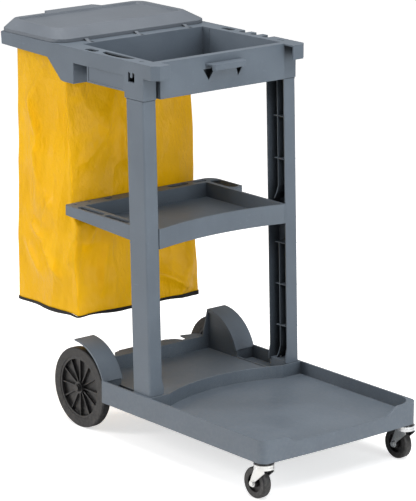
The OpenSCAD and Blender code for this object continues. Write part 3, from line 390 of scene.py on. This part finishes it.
def tyre_rubber(name, colour, rough):
    material, s, surface = new_material(name)
    marks = use_group(s, marks_group, Amount=0.8)
    dust = use_group(s, dust_group, Top=0.30)
    body = tint(s, marks.outputs["Cloud"], colour, scaled(colour, 1.35))
    s.join(tint(s, maths(s, "MULTIPLY", dust.outputs["Mask"], 0.14), body, (0.26, 0.24, 0.22, 1)),
        surface.inputs["Base Color"])
    s.join(maths(s, "ADD", rough, maths(s, "MULTIPLY", marks.outputs["Scuff"], 0.2)),
        surface.inputs["Roughness"])
    grain = use_group(s, grain_group, Grain_Scale=2000.0, Wave=0.3)
    s.join(bump(s, grain.outputs["Height"], 0.00015, 0.6, soft_edges(s, 0.0015)),
        surface.inputs["Normal"])
    return material


wheel_rubber = tyre_rubber("dark grey wheel rubber", (0.007, 0.0072, 0.008, 1), 0.50)
caster_rubber = tyre_rubber("black caster rubber", (0.006, 0.006, 0.0065, 1), 0.36)


def zinc_plate(name):
    material, s, surface = new_material(name)
    marks = use_group(s, marks_group, Amount=1.0)
    s.join(tint(s, marks.outputs["Cloud"], (0.62, 0.64, 0.66, 1), (0.74, 0.74, 0.72, 1)),
        surface.inputs["Base Color"])
    s.join(maths(s, "ADD", 0.22, maths(s, "MULTIPLY", marks.outputs["Cloud"], 0.18)),
        surface.inputs["Roughness"])
    surface.inputs["Metallic"].default_value = 1.0
    grain = use_group(s, grain_group, Grain_Scale=900.0, Wave=0.5)
    s.join(bump(s, grain.outputs["Height"], 0.00006, 0.5, soft_edges(s, 0.0006)),
        surface.inputs["Normal"])
    return material


zinc = zinc_plate("bright zinc plate")
print("hard finishes", black_nylon.name, wheel_rubber.name, zinc.name)

# %% [markdown]
# A ready-made piece keeps its shape and place. Only its material is changed, by giving its mesh a
# new one, and the pieces that come in pairs are named from their side.

# %% Give each ready-made piece its finish
def paint(material, *names):
    for name in names:
        mesh = nodes[name].data
        mesh.materials.clear()
        mesh.materials.append(material)


def sides(*names):
    return [side + name for side in ("right_", "left_") for name in names]


paint(frame_plastic, "base_deck", "right_post", "left_post", "middle_shelf", "top_tray")
paint(lid_plastic, "lid")
paint(zinc, "post_screws", "shelf_screws", "lid_hinge_pins", "bag_grommets", "rear_axle",
    "axle_spacers", *sides("caster_stem", "caster_fork", "caster_bolt", "caster_nut",
    "caster_sleeve"))
paint(black_nylon, "axle_caps", *sides("rear_wheel", "caster_cap", "caster_hub"))
paint(wheel_rubber, *sides("rear_tyre"))
paint(caster_rubber, *sides("caster_tyre"))
print("painted", len(nodes), "pieces")

# %% [markdown]
# The bag is coated cloth: a tall open sack that hangs from pegs under the tray, so it is tight at
# the top and slack lower down. It could be five flat plates, but those never look like cloth. Here
# one ring of points with rounded corners is extruded upwards into a continuous sleeve, each ring
# follows the bag's outline, and then folds push the wall in and out.

# %% The bag's outline
bag_low, bag_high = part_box("bag")
base_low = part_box("bag_base")[0]
BAG_TOP = bag_high[2]
BAG_FOOT = base_low[2] + 0.004
REAR_X = bag_low[0]
HALF_Y = bag_high[1]
FACE = bag_high[0]
# How the front wall hangs: a height, and how far behind the bag's foremost point the wall is there.
# It bellies forward low down, is held back by the shelf, and runs up to the narrower bag frame.
HANG = [(0.258, 0.010), (0.325, 0.013), (0.395, 0.021), (0.465, 0.015), (0.500, 0.014),
    (0.525, 0.031), (0.575, 0.032), (0.635, 0.035), (0.687, 0.038), (0.812, 0.051), (1.0, 0.0505)]
FRONT = [(z, FACE - back) for z, back in HANG]


def front_x(z):
    """How far forward the bag's front wall stands at height z."""
    for (z0, x0), (z1, x1) in zip(FRONT, FRONT[1:]):
        if z <= z1:
            t = max(0.0, (z - z0) / (z1 - z0))
            return x0 + (x1 - x0) * t * t * (3 - 2 * t)
    return FRONT[-1][1]


def step(value, low, high):
    """Rises smoothly from 0 at low to 1 at high."""
    t = min(1.0, max(0.0, (value - low) / (high - low)))
    return t * t * (3 - 2 * t)


print("bag from", round(BAG_FOOT, 3), "to", round(BAG_TOP, 3))

# %% [markdown]
# A fold in coated cloth is a soft valley beside a sharper ridge. Ridged noise has that shape. It is
# read along a slanted direction, different on each wall, so the folds run down and across the bag,
# and it fades out near the top, where the pegs hold the cloth flat.

# %% Folds
def ridge(x, y, seed):
    """Noise with sharp crests, 1 on a crest and lower beside it. Each seed is its own pattern."""
    return 1 - 2 * abs(noise.noise(Vector((x, y, seed))))


PRESS = 2.1


def crease(along, z, a, b, width):
    """1 on the line from a to b, falling away sharply beside it and softly at both ends."""
    ax, az = a
    dx, dz = b[0] - ax, b[1] - az
    length = math.hypot(dx, dz)
    t = ((along - ax) * dx + (z - az) * dz) / length ** 2
    off = abs((along - ax) * dz - (z - az) * dx) / length
    return math.exp(-off / width) * step(t, -0.10, 0.25) * (1 - step(t, 0.70, 1.10))


# Single folds that stand out of the cloth: wall, start, end, width and height. The first number of a
# point is the distance from the wall's left edge as seen from outside, the second is how high it is.
CREASES = [("right", (0.13, 0.90), (0.05, 0.78), 0.014, 0.009),
    ("right", (0.06, 0.80), (0.09, 0.70), 0.012, 0.008),
    ("right", (0.09, 0.72), (0.085, 0.50), 0.020, 0.008),
    ("right", (0.065, 0.485), (0.110, 0.440), 0.011, 0.009),
    ("right", (0.108, 0.442), (0.180, 0.345), 0.014, 0.008),
    ("right", (0.040, 0.430), (0.105, 0.340), 0.012, 0.006),
    ("right", (0.150, 0.560), (0.105, 0.470), 0.014, 0.006),
    ("right", (0.235, 0.470), (0.205, 0.390), 0.012, 0.007),
    ("front", (0.060, 0.860), (0.020, 0.800), 0.012, 0.006),
    ("front", (0.150, 0.830), (0.100, 0.690), 0.014, 0.008),
    ("front", (0.100, 0.700), (0.030, 0.640), 0.012, 0.006),
    ("front", (0.165, 0.760), (0.175, 0.620), 0.012, 0.006),
    ("front", (0.060, 0.500), (0.030, 0.430), 0.011, 0.008),
    ("front", (0.110, 0.480), (0.075, 0.300), 0.014, 0.007),
    ("front", (0.290, 0.480), (0.380, 0.300), 0.016, 0.007),
    ("front", (0.250, 0.340), (0.370, 0.280), 0.012, 0.006),
    ("left", (0.060, 0.86), (0.120, 0.60), 0.016, 0.008),
    ("left", (0.200, 0.50), (0.090, 0.34), 0.014, 0.008),
    ("rear", (0.080, 0.82), (0.150, 0.55), 0.018, 0.008),
    ("rear", (0.320, 0.60), (0.230, 0.35), 0.016, 0.008),
    ("rear", (0.060, 0.45), (0.140, 0.31), 0.014, 0.007)]


def fold_depth(wall, along, z):
    """How far the wall stands out of its plane, in metres: minus is inwards."""
    seed = {"right": 3.1, "left": 9.4, "front": 15.7, "rear": 22.3}[wall]
    slack = 1 - 0.85 * step(z, 0.72, BAG_TOP - 0.03)
    sway = 0.35 * noise.noise(Vector((along * 2, z * 3, seed + 40)))
    long_folds = ridge(along * 4.2 + z * 0.9 + sway, z * 1.3, seed)
    cross_folds = ridge(along * 5.5 - z * 3.4, z * 3.0 + along * 3 + sway, seed + 7)
    small = ridge(along * 13 + z * 4, z * 9 - along * 5, seed + 19)
    depth = -0.011 + 0.009 * long_folds + 0.0070 * cross_folds + 0.0030 * small
    side = {"right": along - REAR_X, "left": FACE - along, "front": along + HALF_Y,
        "rear": HALF_Y - along}[wall]
    for name, start, end, width, height in CREASES:
        if name == wall:
            depth += PRESS * height * crease(side, z, start, end, width)
    return depth * slack


print("folds ready")

# %% [markdown]
# The sleeve starts as a square plan, one unit wide, with its corners bevelled round. Its straight
# sides are cut into cells, its face is thrown away, and the ring that is left is extruded once for
# each row. Only then is every point moved from the unit plan to its place on the folded wall.

# %% Loft the bag
CELL = 0.0075
EDGE = 0.5
CORNER = 0.020
SHORTEST_SIDE = 0.3
SAME_LINE = 1e-6
PLAN_DEPTH, PLAN_WIDTH = 0.25, 0.395

bm = bmesh.new()
bmesh.ops.create_grid(bm, x_segments=1, y_segments=1, size=EDGE)
bmesh.ops.bevel(bm, geom=bm.verts[:], affect="VERTICES", offset=CORNER, segments=3, profile=0.5,
    material=-1, offset_type="OFFSET")
for edge in list(bm.edges):
    length = edge.calc_length()
    runs_forward = abs(edge.verts[0].co.y - edge.verts[1].co.y) < SAME_LINE
    cells = round(length * (PLAN_DEPTH if runs_forward else PLAN_WIDTH) / CELL)
    if length > SHORTEST_SIDE:
        bmesh.ops.subdivide_edges(bm, edges=[edge], cuts=cells - 1)
bmesh.ops.delete(bm, geom=bm.faces[:], context="FACES_ONLY")
ring = bm.edges[:]
rows = round((BAG_TOP - BAG_FOOT) / CELL)
level = {vert: 0 for vert in bm.verts}
for row in range(1, rows + 1):
    made = bmesh.ops.extrude_edge_only(bm, edges=ring)["geom"]
    ring = [e for e in made if isinstance(e, bmesh.types.BMEdge)
        and all(vert not in level for vert in e.verts)]
    level.update((vert, row) for e in ring for vert in e.verts)
print("unit sleeve", len(bm.verts), "points in", rows + 1, "rings")

# %% [markdown]
# Cloth is held where it hangs and loose where it ends. So the folds fade out at the corners, the
# rear wall swings back a little towards its foot, and the left wall hangs further in than the right.

# %% Give the sleeve its shape
REAR_SWING = 0.009
LEFT_IN, RIGHT_IN = 0.009, -0.001
WALL_BAND = 0.06
CORNER_FADE = 0.10
CORNER_CALM = 0.75
FOOT_WAVE = 0.006


def on_the_bag(u, v, z):
    """Where the point u, v of the unit plan lies on the folded wall at height z."""
    x = REAR_X + (front_x(z) - REAR_X) * (u + EDGE)
    x -= REAR_SWING * (EDGE - u) * (1 - step(z, 0.28, 0.75))
    inwards = LEFT_IN if v > 0 else RIGHT_IN
    y = v * 2 * (HALF_Y - inwards * (1 - step(z, 0.50, 0.86)))
    push_x = push_y = 0.0
    if abs(v) > EDGE - WALL_BAND:
        corner = 1 - step(EDGE - abs(u), 0.0, CORNER_FADE)
        depth = fold_depth("left" if v > 0 else "right", x, z) * (1 - CORNER_CALM * corner)
        push_y = depth if v > 0 else -depth
    if abs(u) > EDGE - WALL_BAND:
        corner = 1 - step(EDGE - abs(v), 0.0, CORNER_FADE)
        depth = fold_depth("front" if u > 0 else "rear", y, z) * (1 - CORNER_CALM * corner)
        push_x = depth if u > 0 else -depth
    return x + push_x, y + push_y, z


for vert, row in level.items():
    vert.co = on_the_bag(vert.co.x, vert.co.y, BAG_FOOT + (BAG_TOP - BAG_FOOT) * row / rows)
bmesh.ops.recalc_face_normals(bm, faces=bm.faces[:])
for vert in [v for v, row in level.items() if row == 0]:
    vert.co.z += FOOT_WAVE * noise.noise(Vector((vert.co.x * 9, vert.co.y * 9, 2.2)))
print("folded sleeve, foot at", round(min(v.co.z for v in bm.verts), 3))

# %% [markdown]
# The sleeve gets a floor of the same cloth, a smooth surface and a real thickness. A black tape is
# sewn round its foot. It is made from a copy of the lowest row of faces, pushed out a millimetre.

# %% Bag floor, tape and thickness
CLOTH_THICKNESS = 0.0012
TAPE_HEIGHT = 0.006
TAPE_THICKNESS = 0.0022
TAPE_OUT = 0.0010
FOOT_ZONE = 0.02


def smooth_and_thicken(piece, thickness, offset):
    """A subdivision that smooths the cells, then a wall of real thickness."""
    smooth = piece.modifiers.new("Smooth cells", "SUBSURF")
    smooth.levels = smooth.render_levels = 1
    solid = piece.modifiers.new("Real thickness", "SOLIDIFY")
    solid.thickness = thickness
    solid.offset = offset


tape = bm.copy()
foot_edges = [e for e in bm.edges if e.is_boundary
    and all(v.co.z < BAG_FOOT + FOOT_ZONE for v in e.verts)]
bmesh.ops.holes_fill(bm, edges=foot_edges, sides=0)
bmesh.ops.recalc_face_normals(bm, faces=bm.faces[:])
bag_cloth = finish_mesh(bm, "bag_cloth")
smooth_and_thicken(bag_cloth, CLOTH_THICKNESS, -1)

above_tape = [f for f in tape.faces if f.calc_center_median().z > BAG_FOOT + TAPE_HEIGHT]
bmesh.ops.delete(tape, geom=above_tape, context="FACES")
bmesh.ops.recalc_face_normals(tape, faces=tape.faces[:])
tape.normal_update()
for v in tape.verts:
    v.co += Vector((v.normal.x, v.normal.y, 0)) * TAPE_OUT
bag_tape = finish_mesh(tape, "bag_tape")
smooth_and_thicken(bag_tape, TAPE_THICKNESS, 0)
print("cloth and tape", bag_cloth.name, bag_tape.name)

# %% [markdown]
# Coated cloth shines softly: a plastic skin over a woven backing. The weave only shows as a faint
# bump, with small wrinkles between the modelled folds, and the colour deepens a little in patches.
# The wall that faces forward is painted a lighter yellow: painted light on the bag's front.

# %% Yellow vinyl and black tape
vinyl, s, surface = new_material("yellow coated cloth")
patches = object_noise(s, 6, 4)
body = tint(s, ramp(s, patches.outputs["Fac"], 0.3, 0.7), (0.74, 0.395, 0.0012, 1),
    (0.78, 0.430, 0.0016, 1))
# Painted light: the more a face points forward (+X), the lighter and brighter its yellow.
s.join(tint(s, ramp(s, facing(s, "X"), 0.2, 0.9), body, (0.97, 0.505, 0.0012, 1)),
    surface.inputs["Base Color"])
s.join(maths(s, "ADD", 0.30, maths(s, "MULTIPLY", patches.outputs["Fac"], 0.14)),
    surface.inputs["Roughness"])
surface.inputs["Specular IOR Level"].default_value = 0.20
weave = use_group(s, weave_group, Threads=5200.0)
threads = bump(s, weave.outputs["Height"], 0.00006, 0.5)
wrinkle = object_noise(s, 16, 5, (1, 1, 0.55))
facet = s.add("TexVoronoi", feature="F1", Scale=7.0)
lean = s.add("Mapping")
lean.inputs["Scale"].default_value = (1, 1, 0.45)
lean.inputs["Rotation"].default_value = (0.35, 0.3, 0)
s.join(s.add("TexCoord").outputs["Object"], lean.inputs["Vector"])
s.join(lean.outputs["Vector"], facet.inputs["Vector"])
crumple = bump(s, facet.outputs["Distance"], 0.060, 0.6, threads)
s.join(bump(s, wrinkle.outputs["Fac"], 0.020, 0.7, crumple), surface.inputs["Normal"])
bag_cloth.data.materials.append(vinyl)

binding, s, surface = new_material("black woven tape")
marks = use_group(s, marks_group, Amount=0.5)
s.join(tint(s, marks.outputs["Cloud"], (0.004, 0.004, 0.005, 1), (0.010, 0.010, 0.010, 1)),
    surface.inputs["Base Color"])
surface.inputs["Roughness"].default_value = 0.75
weave = use_group(s, weave_group, Threads=2600.0)
s.join(bump(s, weave.outputs["Height"], 0.0002, 0.8), surface.inputs["Normal"])
bag_tape.data.materials.append(binding)

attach(bag_cloth, "cart_frame")
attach(bag_tape, "cart_frame")
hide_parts("bag")
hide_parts("bag_base")
print("bag", len(bag_cloth.data.polygons), "faces, tape", len(bag_tape.data.polygons))
